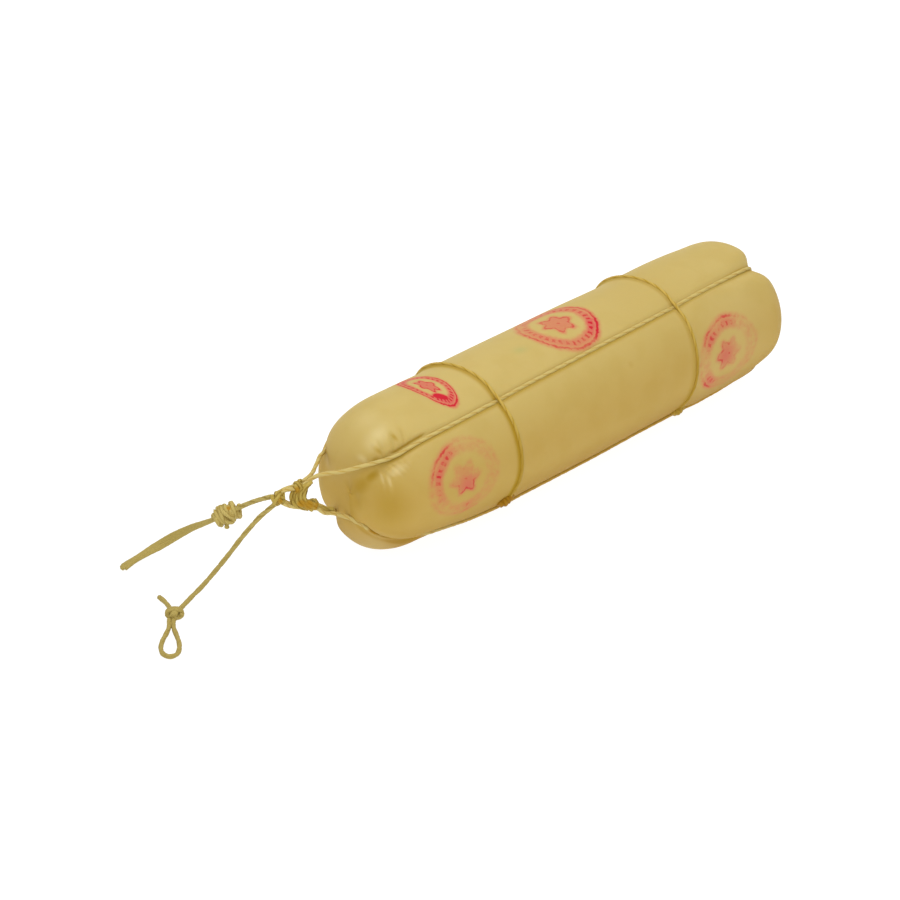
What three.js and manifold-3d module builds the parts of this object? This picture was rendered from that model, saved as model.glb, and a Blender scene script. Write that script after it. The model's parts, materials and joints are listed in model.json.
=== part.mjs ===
// A whole provolone, salame shape: one long cheese in its casing, bound with twine.
// Two loops of string run lengthwise round it and cross over the far end, two hoops go
// round it, and all the string is tied off at the near end, where two loose tails hang.
//
// Millimetres, +Z up. Everything is laid out in the cheese's own frame: its origin is
// on the long axis halfway between the hoops, and +X runs towards the crossed end.
// An angle round the axis is in degrees, measured from the top towards -Y.
// The group at the end moves this frame so that the part stands on Z = 0.

import * as THREE from 'three';
import { mergeVertices } from 'three/addons/utils/BufferGeometryUtils.js';
import Module from 'manifold-3d';

const wasm = await Module();
wasm.setup();

// ---- Driving dimensions ----
// A list of [x, value] pairs says how a value changes along the cheese.

// Cheese body
const nearPole = -233; // middle of the tied end
const farPole = 239; // middle of the crossed end
const nearCap = { length: 60, power: 2.65 }; // both ends round off as superellipses
const farCap = { length: 33, power: 2.58 };
const bodyRadius = [
  [-200, 58.6], [-166, 59.6], [-106, 60.9], [0, 61.4], [106, 60.6], [200, 60.8],
];
const nearRise = [[-233, 2.6], [-190, 2.8], [-150, 1.8], [-100, 0.3], [-60, 0]];
const nearLean = 4.5; // the tied end's underside reaches further out than its top
const pillowLength = 20; // the far end's pillows begin this far before its cap
const farLean = { front: 5, top: -2, length: 75 }; // the far end's front reaches out most
const axisHeight = 59; // less than the radius, so that the underside rests on a flat

// Twine
const twineRadius = 2;
const clearance = 0.9; // of the faceted twine over the faceted cheese
const twineSides = 8;
const twineStep = 8; // from one section of a twine to the next
const bentStep = 6; // the same where it bends more
const loopStep = 8.6; // and on the long loops

// Lengthwise strings: the angle each one runs at
const strings = {
  frontTop: [[-226, 38], [-205, 41], [-106, 40.5], [-50, 39.5], [20, 36], [106, 36], [239, 34]],
  frontLow: [
    [-226, 136], [-212, 127], [-180, 122], [-150, 125], [-106, 131],
    [0, 140], [106, 140], [239, 136],
  ],
  backLow: [[-226, 220], [-106, 218], [106, 216], [239, 214]],
  backTop: [[-226, 309], [-150, 307], [-106, 304], [106, 304], [195, 310], [239, 316]],
};
const loops = {
  string_loop_a: ['frontTop', 'backLow'],
  string_loop_b: ['frontLow', 'backTop'],
}; // a loop goes out on its first string, over the far pole and back on its second
const liftOffX = -226; // where the strings leave the tied end
const overPole = { height: 5.5, width: 13 }; // loop b's rise over loop a at the far pole

// How deep the strings press into the cheese, and how wide: the far end swells into
// four pillows between them
const stringDepth = [
  [-233, 2.6], [-215, 3.2], [-195, 2.8], [-150, 1.5], [-106, 1.1],
  [150, 1.1], [195, 2.2], [215, 6], [228, 9], [239, 8.5],
];
const stringWidth = [
  [-233, 9], [-205, 7], [-160, 5], [-106, 3.6],
  [106, 3.6], [150, 6], [215, 9.5], [239, 12.5],
];

// Hoops
const hoops = {
  hoop_near: { x: -106, leanY: -0.019, leanZ: -0.012 },
  hoop_far: { x: 106, leanY: -0.019, leanZ: 0.052 },
};
const hoopDepth = 1.3;
const hoopWidth = 4;
const hoopMargin = 7; // the groove's net reaches this far either side of a hoop
const hoopFloorGap = 0.3; // a hoop sinks into the underside and stays off the floor
const sunkWidening = 0.6; // a groove widens by this share of what it is deeper there
const crossingDent = { depth: 2.2, width: 10 }; // string and hoop press in together
const hoopHump = { height: 3.2, width: 7 }; // a hoop's rise over a string
const hitch = { string: 'frontLow', size: [4.6, 5.2, 2.1], rise: 0.3 }; // half sizes along, round, off

// Gather: the strings meet in two bundles, wrapped together in front of the tied end
const stringEnds = {
  frontTop: [[-243.3, -2, 26], [-252.8, 9.6, 24.6]],
  backTop: [[-239.5, 24, 26.2], [-252.8, 16.4, 24.6]],
  frontLow: [[-233.4, -14, -22], [-240.8, -6, -14.2], [-248.5, 1.2, -8]],
  backLow: [[-239, 15, -16.5], [-248.4, 9.6, -8.6]],
};
const bundleRadius = 3;
const gatherTwines = [
  { route: [[-256, 13, 24], [-265, 12, 21.5], [-275, 10, 20]], radius: bundleRadius },
  { route: [[-253, 5, -4.5], [-261, 6, 1.5], [-270, 7.5, 7], [-281, 9, 11.5]], radius: bundleRadius },
  { route: [[-276, 10, 24.5], [-278, 9.5, 17], [-280.5, 9, 9.5]], radius: bundleRadius },
  { route: [[-258, 12, 20.5], [-263, 10, 17], [-268, 7.5, 9]], radius: twineRadius },
  { route: [[-277, 10, 22.2], [-281, 11.5, 22.4], [-284.6, 13, 21.2]], radius: twineRadius },
  { route: [[-280, 9, 11], [-284.5, 10.5, 11.3], [-287.2, 12.2, 12.7]], radius: twineRadius },
];
const gatherKnot = { at: [-290, 14.5, 18], size: [5, 5, 5.4] };

// Tails: both come out of the gather knot and come down to the surface below
const plainTail = [
  [-292.2, 19.8, 17.3], [-293.6, 28.3, 13], [-294.9, 38, 7.4], [-296.1, 46.8, 1.6], [-297, 52.1, -2.3],
];
const stopperKnot = { at: [-298.7, 61.2, -9], size: [12, 7, 7], tilt: 42, turn: -21 }; // a barrel
const frayedTail = [
  [-300, 70.2, -15.8], [-300.7, 77, -20], [-301.7, 89.5, -28], [-303.5, 99.4, -34.2],
  [-306.8, 107.3, -40], [-311.2, 114, -45.3], [-317, 119.2, -49.7], [-325, 122.4, -52.8],
  [-334.7, 123.4, -54.6], [-344.5, 123.2, -55.4], [-354, 122, -55.7],
];
const frayedSwell = { ends: 1.15, middle: 0.9 }; // unlaid strands make the twine this much thicker
const loopTail = [
  [-291.8, 16.3, 12.8], [-294.6, 21.2, 7], [-298.4, 26.6, 0.5], [-303.7, 31.8, -8], [-309.9, 36.4, -17],
  [-317.4, 40, -26.5], [-325.3, 43, -35], [-333, 46, -43], [-341.6, 48, -49.7], [-350.9, 48.6, -54],
  [-359, 47.4, -56.1], [-370.6, 43.4, -56.4],
];
const loopKnot = { at: [-376, 40.7, -54.5], size: [7.2, 5.2, 4.1], turn: -48.4 };
const hangingLoop = [
  [5.9, -4.7], [12, -4.6], [18, -4.7], [26.5, -6.6], [36.3, -9.2], [46, -10.1], [54, -8.1], [57.6, -3.5],
  [55.2, 1.2], [47.4, 3.3], [37.6, 3], [27.5, 1.2], [18, -0.1], [12, -0.2], [5.9, -0.3],
]; // on the surface below, from the loop knot's middle, with x along the loop
const hangingLoopTurn = -132.4;
const loopStub = [[-373.2, 46.6, -56.6], [-369.6, 54.4, -56.6], [-367, 61.4, -56.6], [-365.2, 69.6, -56.6]];
const stubRadius = 1.7;

// Place of the whole: the middle of the tied cheese, without its tails, is over the origin
const placeX = 27.9;

// ---- Helpers ----

function along(pairs, x) {
  // The value at x of a list of [x, value] pairs, on a smooth curve that doesn't overshoot
  const last = pairs.length - 1;
  if (x <= pairs[0][0]) {
    return pairs[0][1];
  }
  if (x >= pairs[last][0]) {
    return pairs[last][1];
  }
  const slope = (i) => (pairs[i + 1][1] - pairs[i][1]) / (pairs[i + 1][0] - pairs[i][0]);
  const tangent = (i) => {
    if (i === 0 || i === last) {
      return 0;
    }
    const before = slope(i - 1);
    const after = slope(i);
    return before * after > 0 ? (2 * before * after) / (before + after) : 0;
  };
  const i = pairs.findIndex((pair) => x < pair[0]) - 1;
  const step = pairs[i + 1][0] - pairs[i][0];
  const t = (x - pairs[i][0]) / step;
  const rise = pairs[i + 1][1] - pairs[i][1];
  const leave = tangent(i) * step;
  const arrive = tangent(i + 1) * step;
  return pairs[i][1] + t * (leave + t * (3 * rise - 2 * leave - arrive + t * (leave + arrive - 2 * rise)));
}

function bell(distance, width) {
  return Math.exp(-((distance / width) ** 2));
}

function vectors(points) {
  return points.map(([x, y, z]) => new THREE.Vector3(x, y, z));
}

// ---- Cheese surface ----

function capPoint(pole, cap, inward, turn) {
  const x = pole + inward * cap.length * (1 - Math.cos(turn) ** (2 / cap.power));
  return new THREE.Vector2(x, along(bodyRadius, x) * Math.sin(turn) ** (2 / cap.power));
}

function makeOutline() {
  // The body's outline from pole to pole, in short even steps
  const steps = 60;
  const points = [];
  for (let i = 0; i < steps; i += 1) {
    points.push(capPoint(nearPole, nearCap, 1, (i / steps) * (Math.PI / 2)));
  }
  for (let i = 0; i <= steps; i += 1) {
    const x = THREE.MathUtils.lerp(nearPole + nearCap.length, farPole - farCap.length, i / steps);
    points.push(new THREE.Vector2(x, along(bodyRadius, x)));
  }
  for (let i = steps - 1; i >= 0; i -= 1) {
    points.push(capPoint(farPole, farCap, -1, (i / steps) * (Math.PI / 2)));
  }
  return new THREE.Path(points);
}

const outline = makeOutline();
const outlineLength = outline.getLength();
const outlineSteps = 1100;
const outlinePoints = outline.getSpacedPoints(outlineSteps);

function stationAt(length) {
  // The outline's point at this length from the near pole, with its outward normal
  const place = THREE.MathUtils.clamp(length / outlineLength, 0, 1) * outlineSteps;
  const i = Math.min(Math.floor(place), outlineSteps - 1);
  const point = outlinePoints[i].clone().lerp(outlinePoints[i + 1], place - i);
  const reach = 3;
  const before = outlinePoints[Math.max(i - reach, 0)];
  const after = outlinePoints[Math.min(i + 1 + reach, outlineSteps)];
  const slope = after.clone().sub(before).normalize();
  if (place === 0 || place === outlineSteps) {
    return { x: point.x, r: 0, nx: place ? 1 : -1, nr: 0 };
  }
  return { x: point.x, r: point.y, nx: -slope.y, nr: slope.x };
}

function lengthAt(x) {
  const i = outlinePoints.findIndex((point) => point.x >= x);
  return (i / outlineSteps) * outlineLength;
}

function stringDistance(station, angle, name) {
  const turn = THREE.MathUtils.degToRad(angle - along(strings[name], station.x));
  return Math.cos(turn) > 0 ? station.r * Math.abs(Math.sin(turn)) : station.r;
}

function hoopShift(hoop, radius, angle) {
  const a = THREE.MathUtils.degToRad(angle);
  return radius * (hoop.leanZ * Math.cos(a) - hoop.leanY * Math.sin(a));
}

function hoopSink(radius, angle) {
  // How much deeper a hoop's groove is where the hoop would otherwise reach the floor
  const down = -Math.cos(THREE.MathUtils.degToRad(angle));
  const lowest = axisHeight - hoopFloorGap - twineRadius;
  const free = radius - hoopDepth + twineRadius + clearance;
  return down > 0 ? Math.max(0, free - lowest / down) : 0;
}

function hoopDistance(station, angle, hoop) {
  return station.x - hoop.x - hoopShift(hoop, station.r, angle);
}

function stringPress(station, angle) {
  // How far the strings press the surface in at this place
  const depth = along(stringDepth, station.x);
  const width = along(stringWidth, station.x);
  const away = Object.values(loops).map((names) =>
    Math.min(...names.map((name) => stringDistance(station, angle, name))));
  let pressed = away.reduce((sum, distance) => sum + (depth * bell(distance, width)) ** 4, 0) ** 0.25;
  for (const hoop of Object.values(hoops)) {
    const dent = bell(Math.min(...away), crossingDent.width) * crossingDent.depth;
    pressed += dent * bell(hoopDistance(station, angle, hoop), crossingDent.width);
  }
  return pressed;
}

function hoopPress(station, angle) {
  // How far the hoops press it in
  const sink = hoopSink(station.r, angle);
  const width = hoopWidth + sunkWidening * sink;
  return Object.values(hoops).reduce((sum, hoop) =>
    sum + (hoopDepth + sink) * bell(hoopDistance(station, angle, hoop), width), 0);
}

function placeOff(station, angle, off) {
  // The point that stands off the unpressed body by this much
  const a = THREE.MathUtils.degToRad(angle);
  const r = station.r + off * station.nr;
  const share = r / along(bodyRadius, station.x);
  const nearShare = THREE.MathUtils.clamp((nearPole + nearCap.length - station.x) / nearCap.length, 0, 1);
  const farShare = THREE.MathUtils.clamp((station.x - farPole + farLean.length) / farLean.length, 0, 1);
  let x = station.x + off * station.nx;
  x += nearLean * Math.cos(a) * share * nearShare;
  x += (farLean.front * Math.sin(a) + farLean.top * Math.cos(a)) * share * farShare ** 2;
  return new THREE.Vector3(x, -r * Math.sin(a), r * Math.cos(a) + along(nearRise, station.x));
}

// ---- Cheese ----

const sectorNames = ['frontTop', 'frontLow', 'backLow', 'backTop'];
const sectorColumns = 10;
const grooveRim = 6.5; // from a string to the column beside it

function columnAngle(station, column) {
  // The net's columns follow the strings, so that a groove's bottom is always a column
  const sector = Math.floor(column / sectorColumns) % sectorNames.length;
  const inside = column % sectorColumns;
  const start = along(strings[sectorNames[sector]], station.x);
  const next = along(strings[sectorNames[(sector + 1) % sectorNames.length]], station.x);
  const span = next > start ? next - start : next - start + 360;
  const rim = Math.min(THREE.MathUtils.radToDeg(grooveRim / Math.max(station.r, 1)), span / sectorColumns);
  return inside === 0 ? start : start + rim + ((span - 2 * rim) * (inside - 1)) / (sectorColumns - 2);
}

function netRows() {
  // Lengths along the outline: even steps between marks, closer at the hoops and the ends
  const marks = [
    [lengthAt(nearPole + nearCap.length), 14],
    [lengthAt(hoops.hoop_near.x - hoopMargin), 5],
    [lengthAt(hoops.hoop_near.x + hoopMargin), 4],
    [lengthAt(hoops.hoop_far.x - hoopMargin), 14],
    [lengthAt(hoops.hoop_far.x + hoopMargin), 4],
    [lengthAt(farPole - farCap.length - pillowLength), 6],
    [outlineLength, 15],
  ];
  const rows = [0];
  for (const [end, steps] of marks) {
    const start = rows[rows.length - 1];
    for (let i = 1; i <= steps; i += 1) {
      rows.push(THREE.MathUtils.lerp(start, end, i / steps));
    }
  }
  return rows;
}

function makeCheese() {
  const rows = netRows();
  const columns = sectorColumns * sectorNames.length;
  const profile = rows.map((length) => new THREE.Vector2(stationAt(length).r, stationAt(length).x));
  const geometry = new THREE.LatheGeometry(profile, columns);
  const place = geometry.attributes.position;
  for (let column = 0; column <= columns; column += 1) {
    rows.forEach((length, row) => {
      const plain = stationAt(length);
      const angle = columnAngle(plain, column % columns);
      const leanRoom = 40;
      const leaning = Object.values(hoops).reduce((sum, hoop) =>
        sum + hoopShift(hoop, plain.r, angle) * Math.max(0, 1 - Math.abs(plain.x - hoop.x) / leanRoom), 0);
      const station = stationAt(length + leaning);
      const point = placeOff(station, angle, -stringPress(station, angle) - hoopPress(station, angle));
      place.setXYZ(column * rows.length + row, point.x, point.y, Math.max(point.z, -axisHeight));
    });
  }
  return geometry;
}

// ---- Twine ----

function makeTwine(points, radius, step) {
  const curve = new THREE.CatmullRomCurve3(points, false, 'centripetal');
  const steps = Math.max(2, Math.round(curve.getLength() / step));
  const round = [];
  for (let i = 0; i < twineSides; i += 1) {
    const a = (i / twineSides) * 2 * Math.PI;
    round.push(new THREE.Vector2(radius * Math.cos(a), radius * Math.sin(a)));
  }
  const section = new THREE.Shape(round);
  return new THREE.ExtrudeGeometry(section, { steps, extrudePath: curve, bevelEnabled: false });
}

function makeLoop([outward, homeward]) {
  // One string out along the cheese, over the far pole and back
  const start = lengthAt(liftOffX);
  const count = Math.round((outlineLength - start) / twineStep);
  const lift = twineRadius + clearance;
  const topmost = outward === 'frontLow';
  const route = (name) => {
    const points = [];
    for (let i = 0; i < count; i += 1) {
      const length = THREE.MathUtils.lerp(start, outlineLength, i / count);
      const station = stationAt(length);
      const angle = along(strings[name], station.x);
      const over = topmost ? overPole.height * bell(outlineLength - length, overPole.width) : 0;
      points.push(placeOff(station, angle, lift + over - stringPress(station, angle)));
    }
    return [...vectors(stringEnds[name]).reverse(), ...points];
  };
  return makeTwine([...route(outward), ...route(homeward).reverse()], twineRadius, loopStep);
}

function hoopPoint(hoop, angle, rise) {
  const station = stationAt(lengthAt(hoop.x) + hoopShift(hoop, along(bodyRadius, hoop.x), angle));
  const away = Math.min(...Object.keys(strings).map((name) => stringDistance(station, angle, name)));
  const hump = hoopHump.height * bell(away, hoopHump.width);
  return placeOff(station, angle, twineRadius + clearance + hump + rise - hoopPress(station, angle));
}

function makeHoop(hoop) {
  const count = 180;
  const points = [];
  for (let i = 0; i < count; i += 1) {
    points.push(hoopPoint(hoop, (i / count) * 360, 0));
  }
  const curve = new THREE.CatmullRomCurve3(points, true, 'centripetal');
  const sections = 72;
  const ring = new THREE.TubeGeometry(curve, sections, twineRadius, twineSides, true);
  const angle = along(strings[hitch.string], hoop.x);
  const knot = makeKnot(hitch.size);
  knot.rotateX(THREE.MathUtils.degToRad(angle));
  knot.translate(...hoopPoint(hoop, angle, hitch.rise));
  return join([ring, knot]);
}

function makeKnot(size, tilt = 0) {
  const round = 12;
  const rows = 8;
  return new THREE.SphereGeometry(1, round, rows).scale(...size).rotateY(-THREE.MathUtils.degToRad(tilt));
}

function makeFrayed(points) {
  // Thicker towards the middle of its length
  const geometry = makeTwine(points, twineRadius, bentStep);
  const curve = new THREE.CatmullRomCurve3(points, false, 'centripetal');
  const steps = Math.round(curve.getLength() / bentStep);
  const centres = curve.getSpacedPoints(steps);
  const place = geometry.attributes.position;
  const vertex = new THREE.Vector3();
  for (let i = 0; i < place.count; i += 1) {
    vertex.fromBufferAttribute(place, i);
    const distances = centres.map((centre) => centre.distanceTo(vertex));
    const nearest = distances.indexOf(Math.min(...distances));
    const swell = frayedSwell.ends + frayedSwell.middle * Math.sin((Math.PI * nearest) / steps) ** 2;
    vertex.sub(centres[nearest]).multiplyScalar(swell).add(centres[nearest]);
    place.setXYZ(i, ...vertex);
  }
  return geometry;
}

// ---- Joining ----

function toSolid(geometry) {
  const bare = geometry.clone();
  bare.deleteAttribute('normal');
  bare.deleteAttribute('uv');
  const merged = mergeVertices(bare, 1e-3);
  return new wasm.Manifold(new wasm.Mesh({
    numProp: 3,
    vertProperties: new Float32Array(merged.attributes.position.array),
    triVerts: new Uint32Array(merged.index.array),
  }));
}

function join(geometries) {
  const mesh = geometries.map(toSolid).reduce((whole, solid) => whole.add(solid)).getMesh();
  const geometry = new THREE.BufferGeometry();
  geometry.setAttribute('position', new THREE.BufferAttribute(new Float32Array(mesh.vertProperties), 3));
  geometry.setIndex(new THREE.BufferAttribute(new Uint32Array(mesh.triVerts), 1));
  return geometry;
}

// ---- Assembly ----

const rind = new THREE.MeshStandardMaterial({ color: 0xd3b670, roughness: 0.4, metalness: 0 });
const twine = new THREE.MeshStandardMaterial({ color: 0xcdb86f, roughness: 0.8, metalness: 0 });

const frame = new THREE.Group();
frame.position.set(placeX, 0, axisHeight);

function add(name, geometry, material, at = [0, 0, 0], turn = 0) {
  const mesh = new THREE.Mesh(geometry, material);
  mesh.name = name;
  mesh.position.set(...at);
  mesh.rotation.z = THREE.MathUtils.degToRad(turn);
  frame.add(mesh);
}

add('cheese', makeCheese(), rind);
for (const [name, names] of Object.entries(loops)) {
  add(name, makeLoop(names), twine);
}
for (const [name, hoop] of Object.entries(hoops)) {
  add(name, makeHoop(hoop), twine);
}
const bundles = gatherTwines.map(({ route, radius }) => makeTwine(vectors(route), radius, bentStep));
add('gather_bundle', join(bundles), twine);
add('gather_knot', makeKnot(gatherKnot.size), twine, gatherKnot.at);
add('tail_plain', makeTwine(vectors(plainTail), twineRadius, twineStep), twine);
const barrel = makeKnot(stopperKnot.size, stopperKnot.tilt);
add('stopper_knot', barrel, twine, stopperKnot.at, stopperKnot.turn);
add('tail_frayed', makeFrayed(vectors(frayedTail)), twine);
add('tail_loop', makeTwine(vectors(loopTail), twineRadius, twineStep), twine);
add('loop_knot', makeKnot(loopKnot.size), twine, loopKnot.at, loopKnot.turn);
const loopZ = hoopFloorGap + twineRadius - axisHeight - loopKnot.at[2];
const loopRoute = hangingLoop.map(([x, y]) => [x, y, loopZ]);
const openLoop = makeTwine(vectors(loopRoute), twineRadius, bentStep);
add('hanging_loop', openLoop, twine, loopKnot.at, hangingLoopTurn);
add('loop_stub', makeTwine(vectors(loopStub), stubRadius, bentStep), twine);

export default new THREE.Group().add(frame);
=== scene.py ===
import json
import math
from functools import partial

import bpy
import numpy as np
from mathutils import Matrix, Vector


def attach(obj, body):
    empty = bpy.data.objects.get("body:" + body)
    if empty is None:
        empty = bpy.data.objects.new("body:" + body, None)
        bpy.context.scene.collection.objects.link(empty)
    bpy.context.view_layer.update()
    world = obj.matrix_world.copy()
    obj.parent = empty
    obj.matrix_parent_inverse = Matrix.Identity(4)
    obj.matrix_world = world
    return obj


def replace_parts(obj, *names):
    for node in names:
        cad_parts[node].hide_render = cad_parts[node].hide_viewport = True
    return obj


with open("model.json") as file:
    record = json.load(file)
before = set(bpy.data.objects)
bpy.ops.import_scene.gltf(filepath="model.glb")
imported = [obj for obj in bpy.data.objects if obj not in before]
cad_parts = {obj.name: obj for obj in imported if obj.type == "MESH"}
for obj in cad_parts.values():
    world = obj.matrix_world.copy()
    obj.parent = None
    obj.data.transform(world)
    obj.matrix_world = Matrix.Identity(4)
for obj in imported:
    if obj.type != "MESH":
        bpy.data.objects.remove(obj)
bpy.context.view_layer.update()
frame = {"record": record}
print("frame loaded")

# The cheese has a frame of its own, in millimetres: its origin is on the axis halfway
# between the hoops, +X runs to the crossed end, and an angle is in degrees from the top
# towards -Y. toScene turns its points into the row frame's metres.
axisHeight = 59
restPoint = frame["record"]["mounts"][0]["pos_m"]  # straight below the own origin
ownOrigin = np.array([restPoint[0] * 1000, 0, axisHeight])
metre = 0.001  # metres in a millimetre
floorGap = 0.3  # twine that lies down stays this far off the surface


def toScene(points):
    return (np.asarray(points, float) + ownOrigin) * metre


# camera

shot = {
    "azimuth": -48.4,  # degrees
    "elevation": 26.8,
    "distance": 2.6,  # metres from the own origin
    "lens": 130.07,  # millimetres, on a sensor 36 wide
    "sensor": 36,
    "width": 900,  # pixels
    "originPixel": (553, 392.7),  # where the own origin shows
}


def makeCamera():
    azimuth, elevation = math.radians(shot["azimuth"]), math.radians(shot["elevation"])
    right = Vector((math.cos(azimuth), math.sin(azimuth), 0))
    back = Vector((math.sin(azimuth), -math.cos(azimuth), 0)) * math.cos(elevation)
    back.z = math.sin(elevation)
    up = back.cross(right)
    camera = bpy.data.objects.new("camera", bpy.data.cameras.new("camera"))
    bpy.context.scene.collection.objects.link(camera)
    camera.data.lens = shot["lens"]
    camera.data.sensor_width = shot["sensor"]
    origin = Vector(toScene((0, 0, 0)))
    camera.location = origin + back * shot["distance"]
    perPixel = shot["distance"] * shot["sensor"] / shot["lens"] / shot["width"]
    side = (shot["originPixel"][0] - shot["width"] / 2) * perPixel
    rise = (shot["width"] / 2 - shot["originPixel"][1]) * perPixel
    target = origin - right * side - up * rise  # turning to it moves the cheese off the middle
    turn = (-back).rotation_difference(target - camera.location)
    camera.rotation_mode = "QUATERNION"
    camera.rotation_quaternion = turn @ Matrix((right, up, back)).transposed().to_quaternion()
    bpy.context.scene.camera = camera


makeCamera()
print("camera placed")


# curves and meshes

def hermite(t, start, rise, leave, arrive):
    return start + t * (leave + t * (3 * rise - 2 * leave - arrive + t * (leave + arrive - 2 * rise)))


def along(pairs, x):
    # the value at x of a list of (x, value) pairs, on a smooth curve that doesn't overshoot
    xs, ys = np.array(pairs, float).T
    step = np.diff(xs)
    slope = np.diff(ys) / step
    tangent = np.zeros(len(xs))
    steady = slope[:-1] * slope[1:] > 0
    tangent[1:-1][steady] = (2 * slope[:-1] * slope[1:])[steady] / (slope[:-1] + slope[1:])[steady]
    x = np.clip(x, xs[0], xs[-1])
    i = np.clip(np.searchsorted(xs, x, side="right") - 1, 0, len(xs) - 2)
    t = (x - xs[i]) / step[i]
    return hermite(t, ys[i], ys[i + 1] - ys[i], tangent[i] * step[i], tangent[i + 1] * step[i])


def bell(distance, width):
    return np.exp(-((distance / width) ** 2))


def smoothStep(low, high, value):
    t = np.clip((value - low) / (high - low), 0, 1)
    return t * t * (3 - 2 * t)


def window(value, start, full, fading, end):
    return smoothStep(start, full, value) * (1 - smoothStep(fading, end, value))


def turnFrom(middle, angle):
    return (angle - middle + 180) % 360 - 180


def lengthsAlong(path):
    # from its start to each of its points
    return np.r_[0, np.cumsum(np.linalg.norm(np.diff(path, axis=0), axis=1))]


def pathLength(path):
    return float(lengthsAlong(path)[-1])


def evenPath(points, step, closed=False):
    # a centripetal spline through the points, cut into even steps
    points = np.asarray(points, float)
    if closed:
        ring = np.vstack([points[-1:], points, points[:2]])
    else:
        ring = np.vstack([2 * points[0] - points[1], points, 2 * points[-1] - points[-2]])
    t = np.linspace(0, 1, 17)[:-1, None]
    pieces = []
    for before, start, end, after in zip(ring, ring[1:], ring[2:], ring[3:]):
        a, b, c = (math.sqrt(np.linalg.norm(gap)) for gap in (start - before, end - start, after - end))
        leave = ((start - before) / a - (end - before) / (a + b) + (end - start) / b) * b
        arrive = ((end - start) / b - (after - start) / (b + c) + (after - end) / c) * b
        pieces.append(hermite(t, start, end - start, leave, arrive))
    dense = np.vstack([*pieces, ring[-2:-1]])
    lengths = lengthsAlong(dense)
    marks = np.linspace(0, lengths[-1], max(3, round(lengths[-1] / step)) + 1)
    path = np.column_stack([np.interp(marks, lengths, dense[:, k]) for k in range(3)])
    return path[:-1] if closed else path


def pathFrames(path, closed=False):
    # two directions across the path that turn with it as little as they can
    if closed:
        tangents = np.roll(path, -1, axis=0) - np.roll(path, 1, axis=0)
    else:
        tangents = np.gradient(path, axis=0)
    tangents /= np.linalg.norm(tangents, axis=1)[:, None]
    first = np.cross(tangents[0], (0.3, 0.2, 1))
    normals = [first / np.linalg.norm(first)]
    for tangent in tangents[1:]:
        normal = normals[-1] - tangent * (normals[-1] @ tangent)
        normals.append(normal / np.linalg.norm(normal))
    normals = np.array(normals)
    if closed:  # what the frame has turned by when it comes round is shared out
        home = normals[-1] - tangents[0] * (normals[-1] @ tangents[0])
        side = np.cross(tangents[0], normals[0])
        gap = math.atan2(home @ side, home @ normals[0])
        angles = -gap * np.arange(len(path)) / len(path)
        sides = np.cross(tangents, normals)
        normals = normals * np.cos(angles)[:, None] + sides * np.sin(angles)[:, None]
    return normals, np.cross(tangents, normals)


def addMesh(name, points, faces, material, uvs=None, attributes=None):
    # points in the row frame's metres; uvs has a pair for each corner of each face, and an
    # attribute has a vector for each point
    mesh = bpy.data.meshes.new(name)
    mesh.from_pydata(np.asarray(points).tolist(), [], faces)
    mesh.shade_smooth()
    if uvs is not None:
        layer = mesh.uv_layers.new(name="twine")
        layer.data.foreach_set("uv", np.asarray(uvs, np.float32).ravel())
    for key, values in (attributes or {}).items():
        layer = mesh.attributes.new(key, "FLOAT_VECTOR", "POINT")
        layer.data.foreach_set("vector", values.astype(np.float32).ravel())
    mesh.materials.append(material)
    piece = bpy.data.objects.new(name, mesh)
    bpy.context.scene.collection.objects.link(piece)
    return piece


# shading

def addNode(tree, kind, inputs, operation=None, **settings):
    # inputs by place or by name: another node's output is linked, anything else is set
    node = tree.nodes.new("ShaderNode" + kind)
    if operation:
        node.operation = operation
    for key, value in settings.items():
        setattr(node, key, value)
    for key, value in (inputs if isinstance(inputs, dict) else dict(enumerate(inputs))).items():
        if isinstance(value, bpy.types.NodeSocket):
            tree.links.new(value, node.inputs[key])
        else:
            node.inputs[key].default_value = value
    return node.outputs


def fromHex(text):
    channels = [int(text[i:i + 2], 16) / 255 for i in (1, 3, 5)]
    return [c / 12.92 if c <= 0.04045 else ((c + 0.055) / 1.055) ** 2.4 for c in channels] + [1]


def layColours(add, base, coats):
    # each coat is its share, from 0 to 1, and its colour over what lies under it
    colour = fromHex(base)
    for share, coat in coats:
        colour = add("Mix", {0: share, 6: colour, 7: fromHex(coat)}, data_type="RGBA")[2]
    return colour


def startMaterial(name):
    # an empty material, and addNode for it
    material = bpy.data.materials.new(name)
    material.use_nodes = True
    material.node_tree.nodes.clear()
    return material, partial(addNode, material.node_tree)


eased = {"interpolation_type": "SMOOTHSTEP"}

# Natural-fibre twine, laid from two yarns and stiffened with wax: dull straw colour on the
# crowns of the yarns, painted amber shade where they face each other, and fine fibres along each yarn
bareTwine = {
    "crown": "#C3B068",
    "shade": "#A8944E",
    "gap": "#8E7428",
    "low": "#A8944E",  # painted shade near the floor
    "lowFrom": (0.085, 0.01, 0, 0.85),  # heights in metres that it starts and ends at, and shares there
    "stains": [],
    "roughness": 0.6,
    "level": 0.2,
    "sheen": 0.1,
    "bump": 0.08,  # millimetres
}

# Knotted twine: the pull has squeezed wax out of it, in amber spots
knottedTwine = {
    **bareTwine,
    "crown": "#D2BF74",
    "shade": "#B8A258",
    "gap": "#967A30",
    "stains": [(-301, 58.5, -3, 2.6)],  # x, y, z and radius of a spot
}
gatheredTwine = {
    **bareTwine,
    "crown": "#C3AC58",
    "shade": "#A98E36",
    "gap": "#80600A",
    "stains": [(-276.5, 4.5, 10.3, 4.5), (-271, 1.8, 8, 5.5), (-265, 1, 4.5, 4.5),
               (-276.5, 9, 20.5, 3.8), (-291.5, 12, 17, 3.5)],
}

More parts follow.
